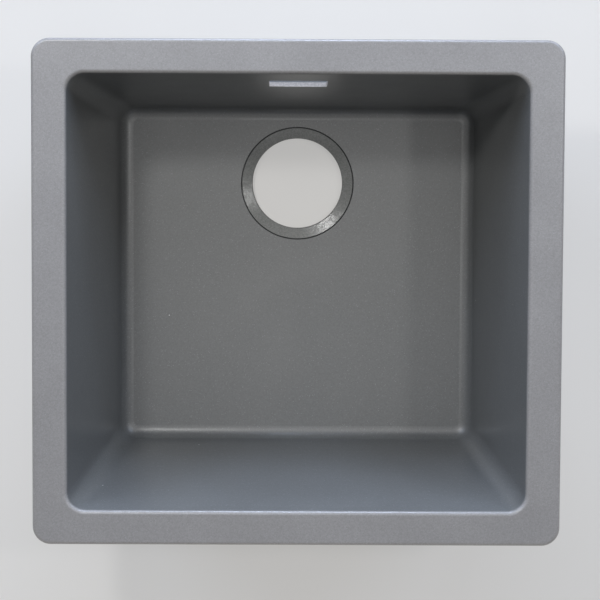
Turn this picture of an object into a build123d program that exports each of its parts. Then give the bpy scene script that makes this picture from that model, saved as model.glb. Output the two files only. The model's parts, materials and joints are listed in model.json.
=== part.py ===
"""Single bowl kitchen sink moulded in stone composite, with its worktop clamps."""
import os
from math import atan2, cos, hypot, sin

from build123d import *

# Rim, in millimetres
RIM_LENGTH = 460.0
RIM_WIDTH = 440.0
RIM_THICKNESS = 10.0
RIM_BORDER = 30.0
RIM_CORNER = 16.0
RIM_UPPER_ROUND = 3.0
RIM_LOWER_ROUND = 1.0
LIP_ROUND = 3.5

# Bowl: the walls lean in evenly from the opening to the floor
BOWL_DEPTH = 200.0
WALL_LEAN = 25.0
WALL = 8.0
FLOOR = 10.0
FLOOR_ROUND = 12.0
FLOOR_FLAT_CORNER = 4.0
FOOT_ROUND = 14.0
UNDER_RIM_ROUND = 4.0

# Drain: a flanged ring set in a rebate in the floor, towards the rear wall
DRAIN_TO_REAR = 91.0
THROAT_DIAMETER = 90.0
SLEEVE_WALL = 3.0
SLEEVE_CLEARANCE = 0.1
FLANGE_DIAMETER = 110.6
FLANGE_EDGE = 3.0
FLANGE_FALL = 2.2
FLANGE_BELOW_FLOOR = 0.3
THROAT_ROUND = 0.8
RING_FOOT_CHAMFER = 0.6
GASKET_THICKNESS = 1.2
GASKET_LIP = 1.3
GASKET_BELOW_FLOOR = 0.9

# Overflow: a rectangular window in the rear wall, which is thinned outside for a fitting
OVERFLOW_WIDTH = 52.0
OVERFLOW_HEIGHT = 30.0
OVERFLOW_DROP = 35.0
OVERFLOW_CORNER = 1.5
OVERFLOW_WALL = 4.0
OVERFLOW_PAD_MARGIN = 9.0
OVERFLOW_PAD_CORNER = 6.0

# Foam strip under the rim
SEAL_FROM_EDGE = 2.0
SEAL_WIDTH = 6.0
SEAL_THICKNESS = 3.0

# Clamp places: studs stand in bosses under the rim
CLAMP_FROM_EDGE = 17.5
CLAMP_SPREAD = 110.0
BOSS_DIAMETER = 14.0
BOSS_DROP = 18.0
BOSS_WEB = 9.0
INSERT_DIAMETER = 9.0
INSERT_LENGTH = 13.0
INSERT_CHAMFER = 0.5
BOND_GAP = 0.03

# Two measures closer than this are the same
SAME = 0.01

# Clamp hardware with a 6 mm thread
STUD_DIAMETER = 6.0
STUD_LENGTH = 70.0
STUD_GRIP = 12.0
STUD_CHAMFER = 0.7
STUD_TAIL = 2.0
THREAD_PLAY = 0.05
NUT_FLATS = 10.0
NUT_HEIGHT = 5.0
NUT_CHAMFER = 0.6
WASHER_DIAMETER = 12.0
WASHER_THICKNESS = 1.6
WASHER_CHAMFER = 0.3
WASHER_PLAY = 0.2
CLAW_WIDTH = 16.0
CLAW_SHEET = 2.5
CLAW_REACH = 34.0
CLAW_RISE = 16.0
CLAW_BEND = 2.5
CLAW_PLAY = 0.3
CLAW_TEETH = 4
CLAW_TOOTH_DEPTH = 2.2
CLAW_TOOTH_FLAT = 0.8

# Levels and slopes that follow
RIM_TOP = FLOOR + BOWL_DEPTH
RIM_UNDERSIDE = RIM_TOP - RIM_THICKNESS
OPENING_LENGTH = RIM_LENGTH - 2 * RIM_BORDER
OPENING_WIDTH = RIM_WIDTH - 2 * RIM_BORDER
WALL_CORNER = FLOOR_ROUND + FLOOR_FLAT_CORNER
LEAN_RATE = WALL_LEAN / BOWL_DEPTH
LEAN_ANGLE = atan2(WALL_LEAN, BOWL_DEPTH)

THROAT_RADIUS = THROAT_DIAMETER / 2
SLEEVE_RADIUS = THROAT_RADIUS + SLEEVE_WALL
FLANGE_RADIUS = FLANGE_DIAMETER / 2
REBATE_RADIUS = FLANGE_RADIUS + GASKET_LIP
FLANGE_TOP = FLOOR - FLANGE_BELOW_FLOOR
FLANGE_UNDERSIDE = FLANGE_TOP - FLANGE_EDGE
REBATE_FLOOR = FLANGE_UNDERSIDE - GASKET_THICKNESS

BOSS_FOOT = RIM_UNDERSIDE - BOSS_DROP
STUD_FOOT = BOSS_FOOT + STUD_GRIP - STUD_LENGTH
NUT_FOOT = STUD_FOOT + STUD_TAIL
WASHER_FOOT = NUT_FOOT + NUT_HEIGHT
CLAW_FOOT = WASHER_FOOT + WASHER_THICKNESS

SIDE_CLAMP_X = RIM_LENGTH / 2 - CLAMP_FROM_EDGE
END_CLAMP_Y = RIM_WIDTH / 2 - CLAMP_FROM_EDGE

# Each clamp stands at x, y and is turned so that its own +Y points out from the bowl
CLAMPS = {
    "rear_left": Location((-CLAMP_SPREAD, END_CLAMP_Y, 0), (0, 0, 0)),
    "rear_right": Location((CLAMP_SPREAD, END_CLAMP_Y, 0), (0, 0, 0)),
    "front_left": Location((-CLAMP_SPREAD, -END_CLAMP_Y, 0), (0, 0, 180)),
    "front_right": Location((CLAMP_SPREAD, -END_CLAMP_Y, 0), (0, 0, 180)),
    "left": Location((-SIDE_CLAMP_X, 0, 0), (0, 0, 90)),
    "right": Location((SIDE_CLAMP_X, 0, 0), (0, 0, -90)),
}


def lean_at(level):
    """How far a wall has come in from the opening at a height."""
    return LEAN_RATE * (RIM_TOP - level)


def outline(length, width, corner, level):
    """Rounded rectangle centred on the bowl, lying at a height."""
    return Plane.XY.offset(level) * RectangleRounded(length, width, corner)


def leaning_slab(plane, level, low_width, high_width, run):
    """Slab with two leaning sides, from a height up to the rim, drawn on an upright plane."""
    section = make_face(Polyline(
        (-low_width / 2, level),
        (low_width / 2, level),
        (high_width / 2, RIM_TOP),
        (-high_width / 2, RIM_TOP),
        close=True,
    ))
    return extrude(plane * section, run / 2, both=True)


def bowl_form(level, grow, foot_round):
    """Solid with the bowl's leaning sides, from a height up to the rim, grown sideways."""
    lean = lean_at(level)
    length = OPENING_LENGTH + 2 * grow
    width = OPENING_WIDTH + 2 * grow
    form = leaning_slab(Plane.XZ, level, length - 2 * lean, length, width)
    form = form & leaning_slab(Plane.YZ, level, width - 2 * lean, width, length)
    foot_edges = form.faces().sort_by(Axis.Z)[0].edges()
    top_edges = form.faces().sort_by(Axis.Z)[-1].edges()
    corner_edges = form.edges() - foot_edges - top_edges
    form = fillet(corner_edges, WALL_CORNER + grow)
    foot_edges = form.faces().sort_by(Axis.Z)[0].edges()
    return fillet(foot_edges, foot_round)


def turned(points):
    """Ring turned about the drain's axis from a closed section of radius and height."""
    section = Plane.XZ * make_face(Polyline(*points, close=True))
    ring = revolve(section, Axis.Z)
    return Pos(0, DRAIN_TO_REAR, 0) * ring


def rear_wall_plane():
    """Plane on the inner face of the rear wall, centred on the overflow, facing outwards."""
    level = RIM_TOP - OVERFLOW_DROP - OVERFLOW_HEIGHT * cos(LEAN_ANGLE) / 2
    place = (0, OPENING_WIDTH / 2 - lean_at(level), level)
    outwards = (0, cos(LEAN_ANGLE), -sin(LEAN_ANGLE))
    return Plane(origin=place, x_dir=(1, 0, 0), z_dir=outwards)


def overflow_cut():
    """Window through the rear wall and the wider pocket behind it."""
    plane = rear_wall_plane()
    window = plane * RectangleRounded(OVERFLOW_WIDTH, OVERFLOW_HEIGHT, OVERFLOW_CORNER)
    pocket = plane.offset(OVERFLOW_WALL) * RectangleRounded(
        OVERFLOW_WIDTH + 2 * OVERFLOW_PAD_MARGIN,
        OVERFLOW_HEIGHT + 2 * OVERFLOW_PAD_MARGIN,
        OVERFLOW_PAD_CORNER,
    )
    through = extrude(window, 2 * WALL, both=True)
    return through + extrude(pocket, WALL)


def drain_cut():
    """Hole for the sleeve, and the rebate for the flange and its gasket."""
    hole_radius = SLEEVE_RADIUS + SLEEVE_CLEARANCE
    hole = Cylinder(hole_radius, 2 * FLOOR)
    rebate = Pos(0, 0, REBATE_FLOOR) * Cylinder(
        REBATE_RADIUS, FLOOR, align=(Align.CENTER, Align.CENTER, Align.MIN)
    )
    return Pos(0, DRAIN_TO_REAR, 0) * (hole + rebate)


def boss():
    """Boss under the rim with a web back to the bowl's wall, about the stud's axis."""
    stem = Pos(0, 0, BOSS_FOOT) * Cylinder(
        BOSS_DIAMETER / 2,
        BOSS_DROP + RIM_THICKNESS / 2,
        align=(Align.CENTER, Align.CENTER, Align.MIN),
    )
    wall_face = RIM_BORDER - CLAMP_FROM_EDGE - WALL + lean_at(BOSS_FOOT)
    web = Pos(0, 0, BOSS_FOOT) * Box(
        BOSS_WEB,
        wall_face + WALL / 2,
        BOSS_DROP + RIM_THICKNESS / 2,
        align=(Align.CENTER, Align.MAX, Align.MIN),
    )
    return stem + web


def insert_socket():
    """Blind hole in a boss for its threaded insert."""
    return Pos(0, 0, BOSS_FOOT) * Cylinder(
        INSERT_DIAMETER / 2 + BOND_GAP,
        INSERT_LENGTH,
        align=(Align.CENTER, Align.CENTER, Align.MIN),
    )


def make_bowl():
    """Moulded bowl with its rim, bosses, drain rebate and overflow window."""
    outside = bowl_form(0, WALL, FOOT_ROUND)
    rim = extrude(outline(RIM_LENGTH, RIM_WIDTH, RIM_CORNER, RIM_UNDERSIDE), RIM_THICKNESS)
    rim_foot = rim.faces().sort_by(Axis.Z)[0].edges()
    rim = fillet(rim_foot, RIM_LOWER_ROUND)
    body = rim + outside
    under_rim = [
        edge
        for edge in body.edges()
        if abs(edge.center().Z - RIM_UNDERSIDE) < SAME
        and abs(edge.center().X) < OPENING_LENGTH / 2 + WALL
        and abs(edge.center().Y) < OPENING_WIDTH / 2 + WALL
    ]
    body = fillet(under_rim, UNDER_RIM_ROUND)
    for place in CLAMPS.values():
        body = body + place * boss()
    body = body - bowl_form(FLOOR, 0, FLOOR_ROUND)
    top = body.faces().filter_by(Plane.XY).sort_by(Axis.Z)[-1]
    body = fillet(top.outer_wire().edges(), RIM_UPPER_ROUND)
    top = body.faces().filter_by(Plane.XY).sort_by(Axis.Z)[-1]
    body = fillet(top.inner_wires()[0].edges(), LIP_ROUND)
    body = body - drain_cut() - overflow_cut()
    for place in CLAMPS.values():
        body = body - place * insert_socket()
    return body


def make_drain_ring():
    """Flanged ring: a dished flange, a rounded throat and a sleeve through the floor."""
    throat_top = FLANGE_TOP - FLANGE_FALL
    ring = turned([
        (THROAT_RADIUS, 0),
        (SLEEVE_RADIUS, 0),
        (SLEEVE_RADIUS, FLANGE_UNDERSIDE),
        (FLANGE_RADIUS, FLANGE_UNDERSIDE),
        (FLANGE_RADIUS, FLANGE_TOP),
        (THROAT_RADIUS, throat_top),
    ])
    circles = ring.edges().filter_by(GeomType.CIRCLE)
    throat_edge = [e for e in circles if abs(e.radius - THROAT_RADIUS) < SAME]
    throat_edge.sort(key=lambda edge: edge.center().Z)
    ring = fillet(throat_edge[-1:], THROAT_ROUND)
    circles = ring.edges().filter_by(GeomType.CIRCLE)
    foot_edge = [e for e in circles if abs(e.radius - THROAT_RADIUS) < SAME]
    foot_edge.sort(key=lambda edge: edge.center().Z)
    return chamfer(foot_edge[:1], RING_FOOT_CHAMFER)


def make_drain_gasket():
    """Rubber washer under the flange with a lip standing round the flange's edge."""
    lip_top = FLOOR - GASKET_BELOW_FLOOR
    return turned([
        (SLEEVE_RADIUS + SLEEVE_CLEARANCE, REBATE_FLOOR),
        (REBATE_RADIUS, REBATE_FLOOR),
        (REBATE_RADIUS, lip_top),
        (FLANGE_RADIUS, lip_top),
        (FLANGE_RADIUS, FLANGE_UNDERSIDE),
        (SLEEVE_RADIUS + SLEEVE_CLEARANCE, FLANGE_UNDERSIDE),
    ])


def make_rim_seals():
    """Foam strip round the underside of the rim, in four lengths mitred at the corners."""
    outer_corner = RIM_CORNER - SEAL_FROM_EDGE
    loop = outline(
        RIM_LENGTH - 2 * SEAL_FROM_EDGE,
        RIM_WIDTH - 2 * SEAL_FROM_EDGE,
        outer_corner,
        RIM_UNDERSIDE - SEAL_THICKNESS,
    ) - outline(
        RIM_LENGTH - 2 * (SEAL_FROM_EDGE + SEAL_WIDTH),
        RIM_WIDTH - 2 * (SEAL_FROM_EDGE + SEAL_WIDTH),
        outer_corner - SEAL_WIDTH,
        RIM_UNDERSIDE - SEAL_THICKNESS,
    )
    loop = extrude(loop, SEAL_THICKNESS)
    mitre_x = RIM_LENGTH / 2 - RIM_CORNER
    mitre_y = RIM_WIDTH / 2 - RIM_CORNER
    front = Polyline(
        (-mitre_x, -mitre_y),
        (-mitre_x - RIM_CORNER, -mitre_y - RIM_CORNER),
        (mitre_x + RIM_CORNER, -mitre_y - RIM_CORNER),
        (mitre_x, -mitre_y),
        close=True,
    )
    left = Polyline(
        (-mitre_x, -mitre_y),
        (-mitre_x, mitre_y),
        (-mitre_x - RIM_CORNER, mitre_y + RIM_CORNER),
        (-mitre_x - RIM_CORNER, -mitre_y - RIM_CORNER),
        close=True,
    )
    front_part = loop & extrude(make_face(front), RIM_TOP)
    left_part = loop & extrude(make_face(left), RIM_TOP)
    return {
        "rim_seal_front": front_part,
        "rim_seal_rear": mirror(front_part, Plane.XZ),
        "rim_seal_left": left_part,
        "rim_seal_right": mirror(left_part, Plane.YZ),
    }


def make_insert():
    """Brass insert with a through thread, flush with the boss's foot."""
    barrel = Pos(0, 0, BOSS_FOOT) * Cylinder(
        INSERT_DIAMETER / 2, INSERT_LENGTH, align=(Align.CENTER, Align.CENTER, Align.MIN)
    )
    thread = Pos(0, 0, BOSS_FOOT) * Cylinder(
        STUD_DIAMETER / 2 + BOND_GAP,
        INSERT_LENGTH,
        align=(Align.CENTER, Align.CENTER, Align.MIN),
    )
    insert = barrel - thread
    foot = insert.faces().sort_by(Axis.Z)[0]
    return chamfer(foot.inner_wires()[0].edges(), INSERT_CHAMFER)


def make_stud():
    """Threaded stud screwed up into its insert."""
    stud = Pos(0, 0, STUD_FOOT) * Cylinder(
        STUD_DIAMETER / 2, STUD_LENGTH, align=(Align.CENTER, Align.CENTER, Align.MIN)
    )
    return chamfer(stud.edges().filter_by(GeomType.CIRCLE), STUD_CHAMFER)


def make_nut():
    """Hexagon nut with chamfered corners, near the stud's foot."""
    prism = extrude(RegularPolygon(NUT_FLATS / 2, 6, major_radius=False), NUT_HEIGHT)
    corner_radius = hypot(NUT_FLATS / 2, prism.edges().filter_by(Plane.XY)[0].length / 2)
    blank = Cylinder(
        corner_radius, NUT_HEIGHT, align=(Align.CENTER, Align.CENTER, Align.MIN)
    )
    blank = chamfer(blank.edges().filter_by(GeomType.CIRCLE), NUT_CHAMFER)
    thread = Cylinder(STUD_DIAMETER / 2 + THREAD_PLAY, 3 * NUT_HEIGHT)
    return Pos(0, 0, NUT_FOOT) * ((prism & blank) - thread)


def make_washer():
    """Plain washer between the nut and the claw."""
    disc = Cylinder(
        WASHER_DIAMETER / 2, WASHER_THICKNESS, align=(Align.CENTER, Align.CENTER, Align.MIN)
    )
    disc = chamfer(disc.edges().filter_by(GeomType.CIRCLE), WASHER_CHAMFER)
    hole = Cylinder(STUD_DIAMETER / 2 + WASHER_PLAY, 3 * WASHER_THICKNESS)
    return Pos(0, 0, WASHER_FOOT) * (disc - hole)


def make_claw():
    """Bent steel claw with a round heel on the stud and a toothed tip turned up."""
    heel = -CLAW_WIDTH / 2
    inside = CLAW_REACH - CLAW_SHEET
    profile = make_face(Polyline(
        (heel, 0),
        (CLAW_REACH, 0),
        (CLAW_REACH, CLAW_RISE),
        (inside, CLAW_RISE),
        (inside, CLAW_SHEET),
        (heel, CLAW_SHEET),
        close=True,
    ))
    outer_bend = [v for v in profile.vertices() if v.X > inside and v.Y < CLAW_SHEET / 2]
    profile = fillet(outer_bend, CLAW_BEND + CLAW_SHEET)
    inner_bend = [
        v
        for v in profile.vertices()
        if abs(v.X - inside) < SAME and abs(v.Y - CLAW_SHEET) < SAME
    ]
    profile = fillet(inner_bend, CLAW_BEND)
    strip = extrude(Plane.XZ * profile, CLAW_WIDTH / 2, both=True)
    arm = Pos(CLAW_REACH / 2, 0) * Rectangle(CLAW_REACH, CLAW_WIDTH)
    plan = extrude(Circle(CLAW_WIDTH / 2) + arm, CLAW_RISE)
    claw = strip & plan
    claw = claw - Cylinder(STUD_DIAMETER / 2 + CLAW_PLAY, 3 * CLAW_SHEET)
    pitch = CLAW_WIDTH / CLAW_TEETH
    half_notch = (pitch - CLAW_TOOTH_FLAT) / 2
    notch = Plane.YZ * make_face(Polyline(
        (-half_notch, CLAW_RISE),
        (0, CLAW_RISE - CLAW_TOOTH_DEPTH),
        (half_notch, CLAW_RISE),
        close=True,
    ))
    notch = extrude(notch, 2 * CLAW_REACH)
    for step in range(1, CLAW_TEETH):
        claw = claw - Pos(0, heel + step * pitch, 0) * notch
    return Pos(0, 0, CLAW_FOOT) * claw


def make_clamps():
    """The hardware of every clamp, at its place round the bowl."""
    pieces = {
        "threaded_insert": make_insert(),
        "clamp_stud": make_stud(),
        "clamp_nut": make_nut(),
        "clamp_washer": make_washer(),
        "clamp_claw": make_claw(),
    }
    nodes = {}
    for clamp, place in CLAMPS.items():
        for piece, solid in pieces.items():
            nodes[f"{piece}_{clamp}"] = place * solid
    return nodes


def make_sink():
    """Every piece of the sink by its name."""
    nodes = {
        "bowl": make_bowl(),
        "drain_ring": make_drain_ring(),
        "drain_gasket": make_drain_gasket(),
    }
    nodes.update(make_rim_seals())
    nodes.update(make_clamps())
    return nodes


os.makedirs("parts", exist_ok=True)
for name, solid in make_sink().items():
    export_step(solid, f"parts/{name}.step")
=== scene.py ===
"""Finishes, foam strips, threaded studs and stage for a single bowl stone composite sink."""
import json
import math

import bmesh
import bpy
from bpy.props import FloatProperty, FloatVectorProperty, IntProperty, PointerProperty
from mathutils import Matrix, Vector


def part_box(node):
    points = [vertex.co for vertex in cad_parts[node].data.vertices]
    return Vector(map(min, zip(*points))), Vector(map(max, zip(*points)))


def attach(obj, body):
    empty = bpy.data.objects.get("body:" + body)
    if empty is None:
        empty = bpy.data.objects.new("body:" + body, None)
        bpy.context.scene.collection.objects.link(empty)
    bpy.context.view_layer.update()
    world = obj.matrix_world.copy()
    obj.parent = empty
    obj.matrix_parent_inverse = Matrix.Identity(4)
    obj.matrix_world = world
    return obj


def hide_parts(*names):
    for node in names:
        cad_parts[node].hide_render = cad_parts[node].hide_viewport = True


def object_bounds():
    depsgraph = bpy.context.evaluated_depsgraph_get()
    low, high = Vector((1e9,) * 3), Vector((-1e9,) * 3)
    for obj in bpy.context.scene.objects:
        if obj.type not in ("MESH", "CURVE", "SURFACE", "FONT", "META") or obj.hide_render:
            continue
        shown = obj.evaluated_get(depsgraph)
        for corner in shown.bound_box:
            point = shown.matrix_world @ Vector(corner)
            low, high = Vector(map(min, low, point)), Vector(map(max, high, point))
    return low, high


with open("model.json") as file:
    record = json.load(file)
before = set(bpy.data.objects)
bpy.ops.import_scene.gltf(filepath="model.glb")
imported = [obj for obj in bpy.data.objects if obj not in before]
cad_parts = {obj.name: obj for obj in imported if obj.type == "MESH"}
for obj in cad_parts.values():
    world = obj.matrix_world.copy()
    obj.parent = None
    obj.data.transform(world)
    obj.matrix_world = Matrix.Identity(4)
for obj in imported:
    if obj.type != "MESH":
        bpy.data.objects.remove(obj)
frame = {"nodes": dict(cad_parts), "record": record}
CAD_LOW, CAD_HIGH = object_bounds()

bl_info = {
    "name": "Stone composite sink",
    "version": (1, 0, 0),
    "blender": (4, 5, 0),
    "location": "View3D > Sidebar > Sink",
    "description": "Dresses a single bowl sink and sets its studio stage",
    "category": "Object",
}

MM = 0.001

# Places that the frame gives
CLAMPS = sorted(n[len("clamp_stud_"):] for n in frame["nodes"] if n.startswith("clamp_stud_"))
MOUNTS = {m["name"]: m for m in frame["record"]["mounts"]}
OVERFLOW_SEAT = Vector(MOUNTS["overflow_window"]["pos_m"])
DRAIN_LOW, DRAIN_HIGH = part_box("drain_ring")
DRAIN_CENTRE = (DRAIN_LOW + DRAIN_HIGH) / 2
SEAL_LOW, SEAL_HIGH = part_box("rim_seal_front")
SEAL_THICKNESS = SEAL_HIGH.z - SEAL_LOW.z

# Lean of the walls: how far they come in over the bowl's depth, in millimetres
WALL_INSET, BOWL_DEPTH = 25, 200

# Foam strips: turn of each from the front one, steps round an edge and round half a corner
SIDE_TURNS = {"front": 0.0, "rear": math.pi, "left": -math.pi / 2, "right": math.pi / 2}
SEAL_EDGE_STEPS = 3
SEAL_CORNER_STEPS = 8

# Thread: where the flat crest starts and ends, in parts of the pitch
CREST = (0.42, 0.58)

# Distances at which points count as one, and as being at a level
MERGE = 0.001 * MM
LEVEL_NEAR = 0.01 * MM

# Sockets of a colour mix
MIX_FIRST, MIX_SECOND, MIX_RESULT = 6, 7, 2

# Grain: noise to one grain, the part that whole grains have in the tone, and the tone's middle
FINE_PER_GRAIN = 1.7
GRAIN_PART = 0.6
GRAIN_MIDDLE = 0.8
GRAIN_CORE = (0.5, 0.2)
PALE_GRAINS = (0.90, 0.96)
DARK_GRAINS = (0.88, 0.95)
CORE_HEIGHT = 0.25

# Dust: least speck and spread of sizes in parts of a cell, and scale, detail and roughness of smudges
SPECK_LEAST, SPECK_SPREAD = 0.02, 0.05
SMUDGE_NOISE = (14.0, 4.0, 0.6)
SMUDGE_WIDE = (0.2, 0.8)
SMUDGE_NARROW = (0.25, 0.75)

# Turning marks: pace and detail of the streaks, and height of the even ripple
STREAK_PACE, STREAK_DETAIL = 0.7, 4.0
RIPPLE = 0.35

# Plating: scale, detail and roughness of its patches and its fine grain, and their weights
PATCH_NOISE = (160.0, 3.0, 0.6)
FINE_NOISE = (1400.0, 2.0, 0.6)
FINE_PART = 0.5
PLATING_MIDDLE = 0.75
PLATING_GLOSS = 0.5

# Stone: grain, rim painted paler by depth below the top as painted light on its top face, dust, roughness
# and relief (distance, strength)
STONE_CONTRAST = 0.3
STONE_PALE, STONE_DARK = 0.55, 0.1
STONE_SPECKS, STONE_SPECK_SHARE = 62.0, 0.05
STONE_SMUDGE = (0.95, 1.05)
STONE_ROUGHNESS = (0.29, 0.37)
STONE_SPECULAR = 0.65
STONE_RELIEF = (0.05 * MM, 0.6)
STONE_DUST, STONE_DUST_COVER = (0.75, 0.75, 0.74, 1.0), 0.7
RIM_LIGHT_FROM, RIM_LIGHT_FULL = 4 * MM, 1 * MM
OUTSIDE_ROUGHER = 0.22
OUTSIDE_OVERLAP = 0.5 * MM
# Milled overflow edges: grain range and tone of their pale colour, which is partly paler milled stone and
# partly painted light, and the margin of their mask
CUT_GRAIN, CUT_TONE = (0.9, 1.1), (0.8, 1.05)
CUT_MARGIN = 0.1 * MM

# Drain ring: grain, dust, streaks, roughness, and the uneven patches beside its turning marks
RING_CONTRAST = 0.5
RING_SPECKS, RING_SPECK_SHARE, RING_DUST_COVER = 180.0, 0.05, 0.3
RING_STREAK, RING_TONE = (0.3, 0.7), (0.94, 1.06)
RING_ROUGHNESS = (0.13, 0.22)
RING_SPECULAR = 0.6
RING_CREASE_NOISE, RING_CREASE = (260.0, 3.0, 0.55), 10.0
RING_RELIEF = (0.02 * MM, 0.8)

# Rubber and foam: pores to the metre, dust, tone, roughness and relief
GASKET_PORES, FOAM_PORES = 1500.0, 2200.0
RUBBER_SPECKS, RUBBER_SPECK_SHARE = 240.0, 0.12
RUBBER_DUST, RUBBER_DUST_COVER = (0.3, 0.3, 0.29, 1.0), 0.3
RUBBER_TONE, RUBBER_ROUGHNESS = (0.8, 1.3), (0.62, 0.85)
RUBBER_RELIEF = (0.2 * MM, 0.6)

# Metals: roughness and wear of each, dust and relief
ZINC_SURFACE, CLAW_SURFACE, BRASS_SURFACE = (0.3, 0.35), (0.36, 0.5), (0.3, 0.3)
METAL_SPECKS, METAL_SPECK_SHARE = 300.0, 0.06
METAL_DUST, METAL_DUST_COVER = (0.2, 0.2, 0.2, 1.0), 0.3
METAL_RELIEF = (0.03 * MM, 0.4)

# Studio floor: half its width, gap below the sink, surface, and where its far paleness starts and ends
FLOOR_REACH = 6.0
FLOOR_GAP = 0.3 * MM
FLOOR_ROUGHNESS = 0.8
FLOOR_GLOW = (1.0, 0.99, 0.975, 1.0)
FLOOR_MOTTLE, FLOOR_MOTTLE_BAND, FLOOR_MOTTLE_TONE = 3.0, (0.3, 0.7), (0.99, 1.01)
FLOOR_FAR = (0.8, 4.5)

# Lamps: place, width, and the settings that hold the power and the tint
LAMPS = {
    "top_lamp": ((0.0, -0.25, 2.4), 0.6, "top_power", "plain"),
    "high_lamp": ((0.0, 1.1, 2.3), 1.7, "high_power", "plain"),
    "key_lamp": ((-0.6, 0.85, 1.9), 0.2, "key_power", "plain"),
    "fill_lamp": ((0.95, 0.32, 1.9), 0.12, "fill_power", "plain"),
    "left_lamp": ((-1.4, 1.5, 1.1), 1.0, "corner_power", "cool"),
    "right_lamp": ((1.4, 1.5, 1.1), 1.0, "corner_power", "cool"),
    "rear_lamp": ((0.0, 2.0, 0.62), 0.7, "rear_power", "cool"),
}

# Low front strips: place across and in front, width and height
STRIPS = {"front_left_lamp": -1.3, "front_right_lamp": 1.3}
STRIP_FRONT = -1.8
STRIP_WIDTH, STRIP_HEIGHT = 1.0, 0.14

SENSOR_WIDTH = 36.0


def colour(name, description, default):
    """Colour property with its linear default."""
    return FloatVectorProperty(
        name=name, description=description, subtype="COLOR", size=3, min=0.0, max=1.0, default=default
    )


def length(name, description, default):
    """Length property in metres."""
    return FloatProperty(
        name=name, description=description, unit="LENGTH", min=0.0, precision=5, default=default
    )


def power(name, description, default):
    """Lamp power property in watts."""
    return FloatProperty(name=name, description=description, unit="POWER", default=default)


def plain_number(name, description, default):
    """Number property without a unit."""
    return FloatProperty(name=name, description=description, default=default)


class SinkFinish(bpy.types.PropertyGroup):
    """Colours and grain of the sink's materials."""

    stone: colour("Stone", "Body colour of the composite", (0.138, 0.141, 0.141))
    # The rim colour is painted light: the rim's top face is painted paler than the bowl, standing in for
    # the stronger light that falls on it.
    stone_rim: colour("Rim", "Colour of the rim's finely rubbed face", (0.24, 0.231, 0.228))
    stone_light: colour("Light grain", "Colour of the pale grains", (0.33, 0.335, 0.34))
    stone_dark: colour("Dark grain", "Colour of the dark grains", (0.075, 0.076, 0.08))
    # The overflow's milled edges are partly paler milled stone and partly painted light: pale and warm,
    # standing in for light through the slot and its glow in the thin wall.
    stone_cut: colour("Cut stone", "Colour of the milled overflow edges", (0.57, 0.52, 0.48))
    stone_back: colour("Back of the bowl", "Colour of the unpolished outside", (0.158, 0.16, 0.162))
    grain_size: length("Grain size", "Width of one grain of the composite", 1.1 * MM)
    ring: colour("Drain ring", "Colour of the glossy ring", (0.152, 0.156, 0.150))
    ring_groove: length("Turning marks", "Spacing of the marks on the ring", 0.55 * MM)
    rubber: colour("Rubber", "Colour of the drain gasket", (0.011, 0.011, 0.012))
    foam: colour("Foam", "Colour of the strip under the rim", (0.028, 0.028, 0.03))
    zinc: colour("Zinc", "Colour of the plated studs, nuts and washers", (0.56, 0.575, 0.6))
    claw: colour("Claw", "Colour of the plated pressed claws", (0.5, 0.49, 0.46))
    brass: colour("Brass", "Colour of the threaded inserts", (0.7, 0.49, 0.2))


class SinkPieces(bpy.types.PropertyGroup):
    """Sizes of the pieces modelled here and of the bowl's parts that its finish follows."""

    wall_lean: FloatProperty(
        name="Wall lean",
        description="Slope of the bowl's walls",
        subtype="ANGLE",
        default=math.atan2(WALL_INSET, BOWL_DEPTH),
    )
    wall: length("Wall", "Thickness of the bowl's walls", 8 * MM)
    floor: length("Floor", "Thickness of the bowl's floor", 10 * MM)
    rim_border: length("Rim border", "Width of the flat rim", 30 * MM)
    overflow_width: length("Overflow width", "Width of the overflow window", 52 * MM)
    overflow_height: length("Overflow height", "Height of the overflow window", 30 * MM)
    overflow_wall: length("Overflow wall", "Thickness of the wall at the overflow", 4 * MM)
    seal_from_edge: length("Strip inset", "Distance of the foam strip from the rim's edge", 2 * MM)
    seal_width: length("Strip width", "Width of the foam strip", 6 * MM)
    seal_round: length("Strip edge", "Rounding of the foam strip's edges", 0.8 * MM)
    rim_corner: length("Rim corner", "Radius of the rim's corners", 16 * MM)
    thread_pitch: length("Thread pitch", "Rise of the studs' thread in one turn", 1.0 * MM)
    thread_depth: length("Thread depth", "Depth of the studs' thread", 0.55 * MM)
    thread_steps: IntProperty(
        name="Thread steps", description="Facets in one turn of the thread", min=8, default=20
    )


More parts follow.
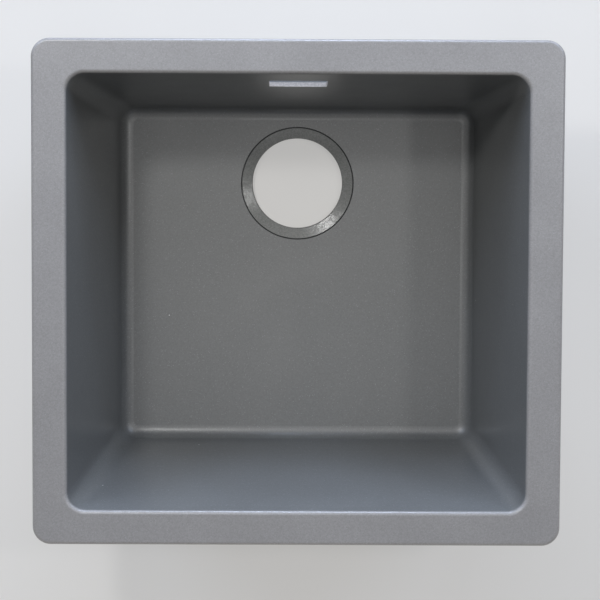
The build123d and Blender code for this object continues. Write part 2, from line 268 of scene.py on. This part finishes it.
class SinkStage(bpy.types.PropertyGroup):
    """Camera, floor and lamps."""

    camera_place: FloatVectorProperty(
        name="Camera place",
        description="Where the camera stands",
        subtype="TRANSLATION",
        unit="LENGTH",
        default=(-0.0031, 0.1260, CAD_HIGH.z + 1.2050),
    )
    camera_turn: FloatVectorProperty(
        name="Camera turn",
        description="Pitch, yaw and roll from looking straight down",
        subtype="EULER",
        unit="ROTATION",
        default=(math.radians(-2.67), math.radians(-0.24), math.radians(0.27)),
    )
    lens: plain_number("Lens", "Focal length in millimetres", 83.95)
    shift_y: plain_number("Lens shift", "Upward shift of the frame", -0.1438)
    floor: colour("Floor", "Colour of the studio floor", (0.35, 0.34, 0.328))
    floor_lift: plain_number("Floor lift", "Paleness of the floor in shadow", 0.37)
    far_lift: plain_number("Far lift", "Paleness of the floor far from the sink", 0.85)
    backdrop: colour("Backdrop", "Colour behind the floor", (0.86, 0.86, 0.86))
    ambient: plain_number("Ambient", "Strength of the even light", 0.11)
    cool: colour("Cool light", "Tint of the rear and corner lamps", (0.67, 0.785, 1.0))
    plain: colour("Plain light", "Tint of the lamps above and in front", (1.0, 1.0, 0.99))
    top_power: power("Top lamp", "Power of the lamp above", 3.0)
    high_power: power("High lamp", "Power of the lamp high at the rear", 8.2)
    key_power: power("Key lamp", "Power of the left rear lamp", 11.2)
    fill_power: power("Fill lamp", "Power of the right rear lamp", 4.6)
    corner_power: power("Corners", "Power of each corner lamp", 20.0)
    rear_power: power("Rear lamp", "Power of the low rear lamp", 38.0)
    front_power: power("Front strips", "Power of each low front lamp", 20.0)
    front_level: length("Front level", "Height of the low front lamps, below the rim", 0.12)


def add_node(tree, kind, **settings):
    """New node with its settings."""
    made = tree.nodes.new(kind)
    for key, value in settings.items():
        setattr(made, key, value)
    return made


def feed(tree, socket, value):
    """Link an output to an input, or set the input's value."""
    if isinstance(value, bpy.types.NodeSocket):
        tree.links.new(value, socket)
    else:
        socket.default_value = value


def math_of(tree, operation, first, second=0.0, clamp=False):
    """Result of a math node."""
    made = add_node(tree, "ShaderNodeMath", operation=operation, use_clamp=clamp)
    feed(tree, made.inputs[0], first)
    feed(tree, made.inputs[1], second)
    return made.outputs[0]


def ramp_of(tree, value, low, high, to_low=0.0, to_high=1.0):
    """Value carried smoothly from one range to another."""
    made = add_node(tree, "ShaderNodeMapRange", interpolation_type="SMOOTHSTEP")
    for socket, given in zip(made.inputs, (value, low, high, to_low, to_high)):
        feed(tree, socket, given)
    return made.outputs[0]


def mix_colour(tree, factor, first, second, blend="MIX"):
    """Mix of two colours."""
    made = add_node(tree, "ShaderNodeMix", data_type="RGBA", blend_type=blend)
    feed(tree, made.inputs["Factor"], factor)
    feed(tree, made.inputs[MIX_FIRST], first)
    feed(tree, made.inputs[MIX_SECOND], second)
    return made.outputs[MIX_RESULT]


def cover(tree, mask, share, under, over):
    """Colour with another laid over a share of it where a mask says."""
    return mix_colour(tree, math_of(tree, "MULTIPLY", mask, share), under, over)


def opaque(rgb):
    """Colour with full alpha."""
    return (*rgb, 1.0)


def object_place(tree):
    """Object coordinates."""
    return add_node(tree, "ShaderNodeTexCoord").outputs["Object"]


def split(tree, vector):
    """The three parts of a vector."""
    made = add_node(tree, "ShaderNodeSeparateXYZ")
    feed(tree, made.inputs[0], vector)
    return made.outputs


def noise_of(tree, vector, scale, detail=2.0, roughness=0.5):
    """Value of a noise pattern."""
    made = add_node(tree, "ShaderNodeTexNoise")
    feed(tree, made.inputs["Vector"], vector)
    feed(tree, made.inputs["Scale"], scale)
    made.inputs["Detail"].default_value = detail
    made.inputs["Roughness"].default_value = roughness
    return made.outputs["Fac"]


def cells_of(tree, vector, scale):
    """Outputs of a cell pattern."""
    made = add_node(tree, "ShaderNodeTexVoronoi", feature="F1")
    feed(tree, made.inputs["Vector"], vector)
    feed(tree, made.inputs["Scale"], scale)
    return made.outputs


def colour_parts(tree, rgb):
    """The three parts of a colour."""
    made = add_node(tree, "ShaderNodeSeparateColor")
    feed(tree, made.inputs[0], rgb)
    return made.outputs


def length_of(tree, vector):
    """Length of a vector."""
    made = add_node(tree, "ShaderNodeVectorMath", operation="LENGTH")
    feed(tree, made.inputs[0], vector)
    return made.outputs["Value"]


def new_group(name, inputs, outputs):
    """Empty shader group with its sockets, its input node and its output node."""
    tree = bpy.data.node_groups.new(name, "ShaderNodeTree")
    for label, kind, default in inputs:
        socket = tree.interface.new_socket(label, in_out="INPUT", socket_type=kind)
        if default is not None:
            socket.default_value = default
    for label, kind in outputs:
        tree.interface.new_socket(label, in_out="OUTPUT", socket_type=kind)
    return tree, add_node(tree, "NodeGroupInput").outputs, add_node(tree, "NodeGroupOutput").inputs


def grain_group(name):
    """Stone grain: an uneven tone, masks of pale and dark grains and a fine height."""
    tree, given, put = new_group(
        name,
        [
            ("Vector", "NodeSocketVector", None),
            ("Density", "NodeSocketFloat", 900.0),
            ("Contrast", "NodeSocketFloat", 0.2),
        ],
        [
            ("Tone", "NodeSocketFloat"),
            ("Pale", "NodeSocketFloat"),
            ("Dark", "NodeSocketFloat"),
            ("Height", "NodeSocketFloat"),
        ],
    )
    cells = cells_of(tree, given["Vector"], given["Density"])
    parts = colour_parts(tree, cells["Color"])
    fine = noise_of(tree, given["Vector"], math_of(tree, "MULTIPLY", given["Density"], FINE_PER_GRAIN))
    spread = math_of(tree, "ADD", math_of(tree, "MULTIPLY", parts[0], GRAIN_PART), fine)
    spread = math_of(tree, "SUBTRACT", spread, GRAIN_MIDDLE)
    tone = math_of(tree, "MULTIPLY", spread, given["Contrast"])
    feed(tree, put["Tone"], math_of(tree, "ADD", tone, 1.0))
    core = ramp_of(tree, cells["Distance"], *GRAIN_CORE)
    pale = ramp_of(tree, parts[1], *PALE_GRAINS)
    dark = ramp_of(tree, parts[2], *DARK_GRAINS)
    feed(tree, put["Pale"], math_of(tree, "MULTIPLY", pale, core))
    feed(tree, put["Dark"], math_of(tree, "MULTIPLY", dark, core))
    feed(tree, put["Height"], math_of(tree, "ADD", fine, math_of(tree, "MULTIPLY", core, CORE_HEIGHT)))
    return tree


def dust_group(name):
    """Dust: a mask of sparse specks, and a soft smudge value about one half."""
    tree, given, put = new_group(
        name,
        [
            ("Vector", "NodeSocketVector", None),
            ("Specks", "NodeSocketFloat", 70.0),
            ("Share", "NodeSocketFloat", 0.08),
        ],
        [("Mask", "NodeSocketFloat"), ("Smudge", "NodeSocketFloat")],
    )
    cells = cells_of(tree, given["Vector"], given["Specks"])
    parts = colour_parts(tree, cells["Color"])
    chosen = math_of(tree, "LESS_THAN", parts[0], given["Share"])
    size = math_of(tree, "MULTIPLY", parts[1], SPECK_SPREAD)
    near = math_of(tree, "LESS_THAN", cells["Distance"], math_of(tree, "ADD", size, SPECK_LEAST))
    feed(tree, put["Mask"], math_of(tree, "MULTIPLY", chosen, near))
    feed(tree, put["Smudge"], noise_of(tree, given["Vector"], *SMUDGE_NOISE))
    return tree


def turned_group(name):
    """Turning marks about the Z axis: an uneven ripple by distance from the axis."""
    tree, given, put = new_group(
        name,
        [("Vector", "NodeSocketVector", None), ("Spacing", "NodeSocketFloat", 0.0005)],
        [("Height", "NodeSocketFloat"), ("Streak", "NodeSocketFloat")],
    )
    flat = add_node(tree, "ShaderNodeVectorMath", operation="MULTIPLY")
    feed(tree, flat.inputs[0], given["Vector"])
    feed(tree, flat.inputs[1], (1.0, 1.0, 0.0))
    rings = math_of(tree, "DIVIDE", length_of(tree, flat.outputs[0]), given["Spacing"])
    ripple = math_of(tree, "SINE", math_of(tree, "MULTIPLY", rings, 2 * math.pi))
    noise = add_node(tree, "ShaderNodeTexNoise", noise_dimensions="1D")
    feed(tree, noise.inputs["W"], math_of(tree, "MULTIPLY", rings, STREAK_PACE))
    noise.inputs["Detail"].default_value = STREAK_DETAIL
    streak = noise.outputs["Fac"]
    feed(tree, put["Height"], math_of(tree, "ADD", math_of(tree, "MULTIPLY", ripple, RIPPLE), streak))
    feed(tree, put["Streak"], streak)
    return tree


def plating_group(name):
    """Plated metal: a patchy tone and the roughness that goes with it."""
    tree, given, put = new_group(
        name,
        [
            ("Vector", "NodeSocketVector", None),
            ("Roughness", "NodeSocketFloat", 0.3),
            ("Wear", "NodeSocketFloat", 0.2),
        ],
        [("Tone", "NodeSocketFloat"), ("Roughness", "NodeSocketFloat"), ("Height", "NodeSocketFloat")],
    )
    patch = noise_of(tree, given["Vector"], *PATCH_NOISE)
    fine = noise_of(tree, given["Vector"], *FINE_NOISE)
    both = math_of(tree, "ADD", patch, math_of(tree, "MULTIPLY", fine, FINE_PART))
    both = math_of(tree, "SUBTRACT", both, PLATING_MIDDLE)
    uneven = math_of(tree, "MULTIPLY", both, given["Wear"])
    feed(tree, put["Tone"], math_of(tree, "ADD", uneven, 1.0))
    polish = math_of(tree, "MULTIPLY", uneven, PLATING_GLOSS)
    feed(tree, put["Roughness"], math_of(tree, "SUBTRACT", given["Roughness"], polish))
    feed(tree, put["Height"], fine)
    return tree


def place_group(tree, maker, **given):
    """A shared group placed in a material with its values, built the first time it is asked for."""
    shared = bpy.data.node_groups.get(maker.__name__) or maker(maker.__name__)
    made = add_node(tree, "ShaderNodeGroup", node_tree=shared)
    for label, value in given.items():
        feed(tree, made.inputs[label], value)
    return made.outputs


def new_material(name):
    """Empty node material, its tree and its Principled shader."""
    made = bpy.data.materials.new(name)
    made.use_nodes = True
    tree = made.node_tree
    return made, tree, tree.nodes["Principled BSDF"]


def scaled(tree, rgb, tone):
    """Colour made lighter or darker by a tone."""
    grey = add_node(tree, "ShaderNodeCombineColor")
    for socket in grey.inputs[:3]:
        feed(tree, socket, tone)
    return mix_colour(tree, 1.0, rgb, grey.outputs[0], "MULTIPLY")


def add_bump(tree, shader, height, distance, strength):
    """Surface relief from a height."""
    bump = add_node(tree, "ShaderNodeBump")
    bump.inputs["Strength"].default_value = strength
    bump.inputs["Distance"].default_value = distance
    feed(tree, bump.inputs["Height"], height)
    feed(tree, shader.inputs["Normal"], bump.outputs[0])


def block_mask(tree, centre, turn, half):
    """Mask of a turned block: one inside it and nought outside."""
    mapping = add_node(tree, "ShaderNodeMapping", vector_type="TEXTURE")
    feed(tree, mapping.inputs["Vector"], object_place(tree))
    mapping.inputs["Location"].default_value = centre
    mapping.inputs["Rotation"].default_value = turn
    mapping.inputs["Scale"].default_value = half
    size = add_node(tree, "ShaderNodeVectorMath", operation="ABSOLUTE")
    feed(tree, size.inputs[0], mapping.outputs[0])
    parts = split(tree, size.outputs[0])
    widest = math_of(tree, "MAXIMUM", math_of(tree, "MAXIMUM", parts[0], parts[1]), parts[2])
    return math_of(tree, "LESS_THAN", widest, 1.0)


def overflow_mask(tree, pieces):
    """Mask of the milled edges of the overflow window."""
    lean = pieces.wall_lean
    outwards = Vector((0.0, math.cos(lean), -math.sin(lean)))
    half = (
        pieces.overflow_width / 2 + CUT_MARGIN,
        pieces.overflow_wall / 2 + CUT_MARGIN,
        pieces.overflow_height / 2 + CUT_MARGIN,
    )
    centre = OVERFLOW_SEAT - outwards * pieces.overflow_wall / 2
    return block_mask(tree, centre, (-lean, 0.0, 0.0), half)


def outside_mask(tree, pieces):
    """Mask of the bowl's unpolished outside, below the rim and behind the walls."""
    parts = split(tree, object_place(tree))
    drop = math_of(tree, "SUBTRACT", CAD_HIGH.z, parts[2])
    lean = math_of(tree, "MULTIPLY", drop, math.tan(pieces.wall_lean))
    beyond = []
    for part, edge in ((parts[0], CAD_HIGH.x), (parts[1], CAD_HIGH.y)):
        face = edge - pieces.rim_border + pieces.wall / 2
        reach = math_of(tree, "ADD", math_of(tree, "ABSOLUTE", part), lean)
        beyond.append(math_of(tree, "SUBTRACT", reach, face))
    behind = math_of(tree, "GREATER_THAN", math_of(tree, "MAXIMUM", *beyond), 0.0)
    below_rim = math_of(tree, "LESS_THAN", parts[2], SEAL_HIGH.z + OUTSIDE_OVERLAP)
    under = math_of(tree, "LESS_THAN", parts[2], pieces.floor / 2)
    return math_of(tree, "MAXIMUM", math_of(tree, "MULTIPLY", behind, below_rim), under)


def stone_material(finish, pieces):
    """Satin stone composite with the rim painted paler as painted light, pale where the overflow is
    milled (paler milled stone and painted light), and duller on the outside.
    """
    made, tree, shader = new_material("stone_composite")
    place = object_place(tree)
    density = 1.0 / finish.grain_size
    grain = place_group(tree, grain_group, Vector=place, Density=density, Contrast=STONE_CONTRAST)
    dust = place_group(tree, dust_group, Vector=place, Specks=STONE_SPECKS, Share=STONE_SPECK_SHARE)
    outside = outside_mask(tree, pieces)
    height = split(tree, place)[2]
    # Painted light: the top millimetres of the rim are painted paler than the bowl, standing in for the
    # stronger light on the top face.
    rim_light_ramp = ramp_of(tree, height, CAD_HIGH.z - RIM_LIGHT_FROM, CAD_HIGH.z - RIM_LIGHT_FULL)
    body = mix_colour(tree, rim_light_ramp, opaque(finish.stone), opaque(finish.stone_rim))
    body = mix_colour(tree, outside, body, opaque(finish.stone_back))
    body = scaled(tree, body, grain["Tone"])
    body = cover(tree, grain["Pale"], STONE_PALE, body, opaque(finish.stone_light))
    body = cover(tree, grain["Dark"], STONE_DARK, body, opaque(finish.stone_dark))
    body = scaled(tree, body, ramp_of(tree, dust["Smudge"], *SMUDGE_WIDE, *STONE_SMUDGE))
    # Painted light on the milled overflow edges: a pale, warm colour standing in for light through the
    # slot and its glow in the thin wall, over somewhat paler milled stone.
    cut_colour_and_light = scaled(tree, opaque(finish.stone_cut), ramp_of(tree, grain["Tone"], *CUT_GRAIN, *CUT_TONE))
    body = mix_colour(tree, overflow_mask(tree, pieces), body, cut_colour_and_light)
    body = cover(tree, dust["Mask"], STONE_DUST_COVER, body, STONE_DUST)
    feed(tree, shader.inputs["Base Color"], body)
    gloss = ramp_of(tree, dust["Smudge"], *SMUDGE_NARROW, *STONE_ROUGHNESS)
    gloss = math_of(tree, "ADD", gloss, math_of(tree, "MULTIPLY", outside, OUTSIDE_ROUGHER), clamp=True)
    feed(tree, shader.inputs["Roughness"], gloss)
    shader.inputs["Specular IOR Level"].default_value = STONE_SPECULAR
    add_bump(tree, shader, grain["Height"], *STONE_RELIEF)
    return made


def ring_material(finish):
    """Glossy ring with turning marks and a few uneven patches."""
    made, tree, shader = new_material("drain_ring_gloss")
    place = object_place(tree)
    centred = add_node(tree, "ShaderNodeMapping")
    feed(tree, centred.inputs["Vector"], place)
    centred.inputs["Location"].default_value = (-DRAIN_CENTRE.x, -DRAIN_CENTRE.y, 0.0)
    marks = place_group(tree, turned_group, Vector=centred.outputs[0], Spacing=finish.ring_groove)
    density = 1.0 / finish.grain_size
    grain = place_group(tree, grain_group, Vector=place, Density=density, Contrast=RING_CONTRAST)
    dust = place_group(tree, dust_group, Vector=place, Specks=RING_SPECKS, Share=RING_SPECK_SHARE)
    body = scaled(tree, opaque(finish.ring), ramp_of(tree, marks["Streak"], *RING_STREAK, *RING_TONE))
    body = scaled(tree, body, grain["Tone"])
    body = cover(tree, dust["Mask"], RING_DUST_COVER, body, opaque(finish.stone_light))
    feed(tree, shader.inputs["Base Color"], body)
    feed(tree, shader.inputs["Roughness"], ramp_of(tree, dust["Smudge"], *SMUDGE_NARROW, *RING_ROUGHNESS))
    crease = noise_of(tree, place, *RING_CREASE_NOISE)
    relief = math_of(tree, "ADD", marks["Height"], math_of(tree, "MULTIPLY", crease, RING_CREASE))
    add_bump(tree, shader, relief, *RING_RELIEF)
    shader.inputs["Specular IOR Level"].default_value = RING_SPECULAR
    return made


def rubber_material(name, rgb, pores):
    """Dull black rubber or foam with its pores."""
    made, tree, shader = new_material(name)
    place = object_place(tree)
    dust = place_group(tree, dust_group, Vector=place, Specks=RUBBER_SPECKS, Share=RUBBER_SPECK_SHARE)
    cells = cells_of(tree, place, pores)
    body = scaled(tree, opaque(rgb), ramp_of(tree, dust["Smudge"], *SMUDGE_WIDE, *RUBBER_TONE))
    body = cover(tree, dust["Mask"], RUBBER_DUST_COVER, body, RUBBER_DUST)
    feed(tree, shader.inputs["Base Color"], body)
    feed(tree, shader.inputs["Roughness"], ramp_of(tree, dust["Smudge"], *SMUDGE_WIDE, *RUBBER_ROUGHNESS))
    add_bump(tree, shader, cells["Distance"], *RUBBER_RELIEF)
    return made


def metal_material(name, rgb, roughness, wear):
    """Plated or bare metal with a patchy surface."""
    made, tree, shader = new_material(name)
    place = object_place(tree)
    plating = place_group(tree, plating_group, Vector=place, Roughness=roughness, Wear=wear)
    dust = place_group(tree, dust_group, Vector=place, Specks=METAL_SPECKS, Share=METAL_SPECK_SHARE)
    body = scaled(tree, opaque(rgb), plating["Tone"])
    body = cover(tree, dust["Mask"], METAL_DUST_COVER, body, METAL_DUST)
    feed(tree, shader.inputs["Base Color"], body)
    feed(tree, shader.inputs["Roughness"], plating["Roughness"])
    shader.inputs["Metallic"].default_value = 1.0
    add_bump(tree, shader, plating["Height"], *METAL_RELIEF)
    return made


def dress(node, material):
    """Give a CAD node a material."""
    for slot in frame["nodes"][node].material_slots:
        slot.material = material


def link_new(name, data):
    """New object in the scene, at the origin."""
    made = bpy.data.objects.new(name, data)
    bpy.context.scene.collection.objects.link(made)
    return made


def mesh_object(name, mesh, material):
    """Object of a finished bmesh, with its material."""
    data = bpy.data.meshes.new(name)
    mesh.to_mesh(data)
    mesh.free()
    data.materials.append(material)
    return link_new(name, data)


def finish_piece(name, mesh, material, body, slot, *nodes):
    """Turn a finished bmesh into a piece that rides a body and stands for CAD nodes."""
    piece = mesh_object(name, mesh, material)
    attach(piece, body)
    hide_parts(*nodes)


def verts_in(geom):
    """The vertices among an operator's results."""
    return [part for part in geom if isinstance(part, bmesh.types.BMVert)]


def close_and_face_out(mesh):
    """Close the open ends of a mesh and turn its faces outwards."""
    bmesh.ops.remove_doubles(mesh, verts=mesh.verts, dist=MERGE)
    open_edges = [edge for edge in mesh.edges if edge.is_boundary]
    bmesh.ops.holes_fill(mesh, edges=open_edges, sides=0)
    bmesh.ops.recalc_face_normals(mesh, faces=mesh.faces)


def foam_section(mesh, pieces, centre):
    """Closed loop with rounded corners, upright across the strip's run."""
    out = pieces.seal_width / 2
    up = SEAL_THICKNESS / 2
    corners = [
        mesh.verts.new(centre + Vector((0.0, y, z)))
        for y, z in ((-out, -up), (out, -up), (out, up), (-out, up))
    ]
    mesh.faces.new(corners)
    bmesh.ops.bevel(
        mesh,
        geom=corners,
        offset=pieces.seal_round,
        segments=SEAL_EDGE_STEPS,
        profile=0.5,
        affect="VERTICES",
        material=-1,
    )
    face = mesh.faces[:][0]
    edges = face.edges[:]
    bmesh.ops.delete(mesh, geom=[face], context="FACES_ONLY")
    return edges


def sweep_corner(mesh, edges, centre, angle):
    """Carry an open loop round half of a rim corner."""
    verts = list({vert for edge in edges for vert in edge.verts})
    bmesh.ops.spin(
        mesh,
        geom=verts + edges,
        cent=centre,
        axis=(0, 0, 1),
        angle=angle,
        steps=SEAL_CORNER_STEPS,
        use_duplicate=False,
    )


def foam_strip(pieces, half_run, offset):
    """Front strip: a straight run with an eighth of a turn at each end."""
    mesh = bmesh.new()
    level = (SEAL_LOW.z + SEAL_HIGH.z) / 2
    radius = pieces.rim_corner - pieces.seal_from_edge - pieces.seal_width / 2
    edges = foam_section(mesh, pieces, Vector((-half_run, -offset - radius, level)))
    ends = bmesh.ops.extrude_edge_only(mesh, edges=edges)["geom"]
    far_verts = verts_in(ends)
    far_edges = [
        part
        for part in ends
        if isinstance(part, bmesh.types.BMEdge) and all(v in far_verts for v in part.verts)
    ]
    bmesh.ops.translate(mesh, vec=(2 * half_run, 0, 0), verts=far_verts)
    sweep_corner(mesh, edges, (-half_run, -offset, level), -math.pi / 4)
    sweep_corner(mesh, far_edges, (half_run, -offset, level), math.pi / 4)
    return mesh


def threaded_rod(pieces, low, high):
    """Rod about the Z axis with a rolled thread and tapered ends."""
    mesh = bmesh.new()
    radius = (high.x - low.x) / 2
    root = radius - pieces.thread_depth
    pitch = pieces.thread_pitch
    taper = pieces.thread_depth
    steps = pieces.thread_steps
    foot = low.z + taper
    head = high.z - taper
    turns = math.ceil((head - foot) / pitch) + 2
    start = foot - pitch
    section = [(root, 0.0), (radius, CREST[0]), (radius, CREST[1]), (root, 1.0)]
    verts = [mesh.verts.new((out, 0.0, start + rise * pitch)) for out, rise in section]
    edges = [mesh.edges.new(pair) for pair in zip(verts, verts[1:])]
    bmesh.ops.spin(
        mesh,
        geom=verts + edges,
        cent=(0, 0, 0),
        axis=(0, 0, 1),
        dvec=(0, 0, pitch / steps),
        angle=2 * math.pi * turns,
        steps=steps * turns,
        use_duplicate=False,
    )
    bmesh.ops.remove_doubles(mesh, verts=mesh.verts, dist=MERGE)
    for level, away, end in ((foot, -1.0, low.z), (head, 1.0, high.z)):
        bmesh.ops.bisect_plane(
            mesh,
            geom=mesh.verts[:] + mesh.edges[:] + mesh.faces[:],
            plane_co=(0, 0, level),
            plane_no=(0, 0, away),
            clear_outer=True,
        )
        rim = [
            edge
            for edge in mesh.edges
            if edge.is_boundary and all(abs(v.co.z - level) < LEVEL_NEAR for v in edge.verts)
        ]
        for vert in verts_in(bmesh.ops.extrude_edge_only(mesh, edges=rim)["geom"]):
            inward = 1.0 - taper / Vector((vert.co.x, vert.co.y)).length
            vert.co = (vert.co.x * inward, vert.co.y * inward, end)
    close_and_face_out(mesh)
    return mesh


class SINK_OT_dress_bowl(bpy.types.Operator):
    """Finish the moulded bowl in stone composite"""

    bl_idname = "sink.dress_bowl"
    bl_label = "Dress bowl"

    def execute(self, context):
        scene = context.scene
        dress("bowl", stone_material(scene.sink_finish, scene.sink_pieces))
        return {"FINISHED"}


class SINK_OT_dress_drain(bpy.types.Operator):
    """Finish the drain ring and its gasket"""

    bl_idname = "sink.dress_drain"
    bl_label = "Dress drain"

    def execute(self, context):
        finish = context.scene.sink_finish
        dress("drain_ring", ring_material(finish))
        dress("drain_gasket", rubber_material("gasket_rubber", finish.rubber, GASKET_PORES))
        return {"FINISHED"}


class SINK_OT_make_seals(bpy.types.Operator):
    """Model the foam strip under the rim"""

    bl_idname = "sink.make_seals"
    bl_label = "Make foam strips"

    def execute(self, context):
        pieces = context.scene.sink_pieces
        foam = rubber_material("rim_foam", context.scene.sink_finish.foam, FOAM_PORES)
        run_x = CAD_HIGH.x - pieces.rim_corner
        run_y = CAD_HIGH.y - pieces.rim_corner
        for side, angle in SIDE_TURNS.items():
            along, out = (run_x, run_y) if side in ("front", "rear") else (run_y, run_x)
            mesh = foam_strip(pieces, along, out)
            turn = Matrix.Rotation(angle, 3, "Z")
            bmesh.ops.rotate(mesh, cent=(0, 0, 0), matrix=turn, verts=mesh.verts)
            close_and_face_out(mesh)
            node = f"rim_seal_{side}"
            finish_piece(f"foam_strip_{side}", mesh, foam, "sink", "foam_seal", node)
        return {"FINISHED"}


class SINK_OT_make_studs(bpy.types.Operator):
    """Model the threaded studs of the clamps"""

    bl_idname = "sink.make_studs"
    bl_label = "Make studs"

    def execute(self, context):
        pieces = context.scene.sink_pieces
        zinc = metal_material("zinc_plate", context.scene.sink_finish.zinc, *ZINC_SURFACE)
        for clamp in CLAMPS:
            node = f"clamp_stud_{clamp}"
            low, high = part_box(node)
            mesh = threaded_rod(pieces, low, high)
            centre = (low + high) / 2
            bmesh.ops.translate(mesh, vec=(centre.x, centre.y, 0.0), verts=mesh.verts)
            finish_piece(f"threaded_stud_{clamp}", mesh, zinc, "sink", "zinc_steel", node)
        return {"FINISHED"}


class SINK_OT_dress_clamps(bpy.types.Operator):
    """Finish the inserts, nuts, washers and claws, after the studs"""

    bl_idname = "sink.dress_clamps"
    bl_label = "Dress clamps"

    def execute(self, context):
        finish = context.scene.sink_finish
        zinc = bpy.data.materials["zinc_plate"]
        claw = metal_material("claw_plate", finish.claw, *CLAW_SURFACE)
        brass = metal_material("insert_brass", finish.brass, *BRASS_SURFACE)
        for clamp in CLAMPS:
            dress(f"threaded_insert_{clamp}", brass)
            dress(f"clamp_nut_{clamp}", zinc)
            dress(f"clamp_washer_{clamp}", zinc)
            dress(f"clamp_claw_{clamp}", claw)
        return {"FINISHED"}


def seen_rays(tree):
    """One for the camera's own rays and for what gloss and glass show, otherwise nought."""
    path = add_node(tree, "ShaderNodeLightPath").outputs
    direct = math_of(tree, "MAXIMUM", path["Is Camera Ray"], path["Is Transmission Ray"])
    return math_of(tree, "MAXIMUM", direct, path["Is Glossy Ray"])


def floor_material(stage):
    """Pale matt floor, lifted in its shadows and far from the sink."""
    made, tree, shader = new_material("studio_floor")
    mottle = noise_of(tree, object_place(tree), FLOOR_MOTTLE)
    tone = ramp_of(tree, mottle, *FLOOR_MOTTLE_BAND, *FLOOR_MOTTLE_TONE)
    feed(tree, shader.inputs["Base Color"], scaled(tree, opaque(stage.floor), tone))
    shader.inputs["Roughness"].default_value = FLOOR_ROUGHNESS
    shader.inputs["Emission Color"].default_value = FLOOR_GLOW
    away = length_of(tree, object_place(tree))
    lift = ramp_of(tree, away, *FLOOR_FAR, stage.floor_lift, stage.far_lift)
    feed(tree, shader.inputs["Emission Strength"], math_of(tree, "MULTIPLY", seen_rays(tree), lift))
    return made


def studio_floor(stage):
    """Wide pale floor under the sink."""
    mesh = bmesh.new()
    bmesh.ops.create_grid(mesh, x_segments=1, y_segments=1, size=FLOOR_REACH)
    bmesh.ops.translate(mesh, vec=(0, 0, CAD_LOW.z - FLOOR_GAP), verts=mesh.verts)
    mesh_object("studio_floor", mesh, floor_material(stage))


def studio_world(stage):
    """Pale backdrop for the camera and a weaker even light for the sink."""
    world = bpy.data.worlds.new("studio")
    bpy.context.scene.world = world
    world.use_nodes = True
    tree = world.node_tree
    background = tree.nodes["Background"]
    background.inputs["Color"].default_value = opaque(stage.backdrop)
    strength = ramp_of(tree, seen_rays(tree), 0.0, 1.0, stage.ambient, 1.0)
    feed(tree, background.inputs["Strength"], strength)


def studio_lamp(name, place, target, width, watts, tint, height=None):
    """Soft lamp aimed at a point: a square, or a strip of the given height."""
    lamp = bpy.data.lights.new(name, "AREA")
    lamp.shape = "RECTANGLE"
    lamp.size = width
    lamp.size_y = height or width
    lamp.energy = watts
    lamp.color = tint
    made = link_new(name, lamp)
    made.location = place
    made.rotation_euler = (Vector(target) - Vector(place)).to_track_quat("-Z", "Y").to_euler()
    return made


def studio_lamps(stage):
    """Lamps above and behind the sink, and low front strips that no gloss shows."""
    aim = (0.0, 0.0, CAD_HIGH.z / 2)
    for name, (place, width, watts, tint) in LAMPS.items():
        studio_lamp(name, place, aim, width, getattr(stage, watts), getattr(stage, tint))
    low_aim = (0.0, 0.0, stage.front_level)
    for name, across in STRIPS.items():
        place = (across, STRIP_FRONT, stage.front_level)
        strip = studio_lamp(
            name, place, low_aim, STRIP_WIDTH, stage.front_power, stage.plain, STRIP_HEIGHT
        )
        strip.visible_glossy = False


def studio_camera(stage):
    """Camera above the sink, looking down into the bowl."""
    camera = bpy.data.cameras.new("camera")
    camera.sensor_width = SENSOR_WIDTH
    camera.lens = stage.lens
    camera.shift_y = stage.shift_y
    made = link_new("camera", camera)
    made.rotation_mode = "ZYX"
    made.rotation_euler = stage.camera_turn
    made.location = stage.camera_place
    bpy.context.scene.camera = made


class SINK_OT_set_stage(bpy.types.Operator):
    """Set the floor, backdrop, lamps and camera"""

    bl_idname = "sink.set_stage"
    bl_label = "Set stage"

    def execute(self, context):
        stage = context.scene.sink_stage
        studio_floor(stage)
        studio_world(stage)
        studio_lamps(stage)
        studio_camera(stage)
        context.scene.view_settings.view_transform = "Standard"
        return {"FINISHED"}


class SINK_PT_sidebar(bpy.types.Panel):
    """Buttons and settings of the sink"""

    bl_idname = "SINK_PT_sidebar"
    bl_label = "Sink"
    bl_space_type = "VIEW_3D"
    bl_region_type = "UI"
    bl_category = "Sink"

    def draw(self, context):
        for operator in OPERATORS:
            self.layout.operator(operator.bl_idname)
        for group, kind in SETTINGS.items():
            for name in kind.__annotations__:
                self.layout.prop(getattr(context.scene, group), name)


OPERATORS = (
    SINK_OT_dress_bowl,
    SINK_OT_dress_drain,
    SINK_OT_make_seals,
    SINK_OT_make_studs,
    SINK_OT_dress_clamps,
    SINK_OT_set_stage,
)
SETTINGS = {"sink_finish": SinkFinish, "sink_pieces": SinkPieces, "sink_stage": SinkStage}
CLASSES = (*SETTINGS.values(), *OPERATORS, SINK_PT_sidebar)


def register():
    """Add the settings, operators and panel."""
    for kind in CLASSES:
        bpy.utils.register_class(kind)
    for group, kind in SETTINGS.items():
        setattr(bpy.types.Scene, group, PointerProperty(type=kind))


def unregister():
    """Take the settings, operators and panel away."""
    for group in SETTINGS:
        delattr(bpy.types.Scene, group)
    for kind in reversed(CLASSES):
        bpy.utils.unregister_class(kind)


def main():
    """Make the pieces and the stage."""
    register()
    bpy.ops.sink.dress_bowl()
    bpy.ops.sink.dress_drain()
    bpy.ops.sink.make_seals()
    bpy.ops.sink.make_studs()
    bpy.ops.sink.dress_clamps()
    bpy.ops.sink.set_stage()


if __name__ == "__main__":
    main()
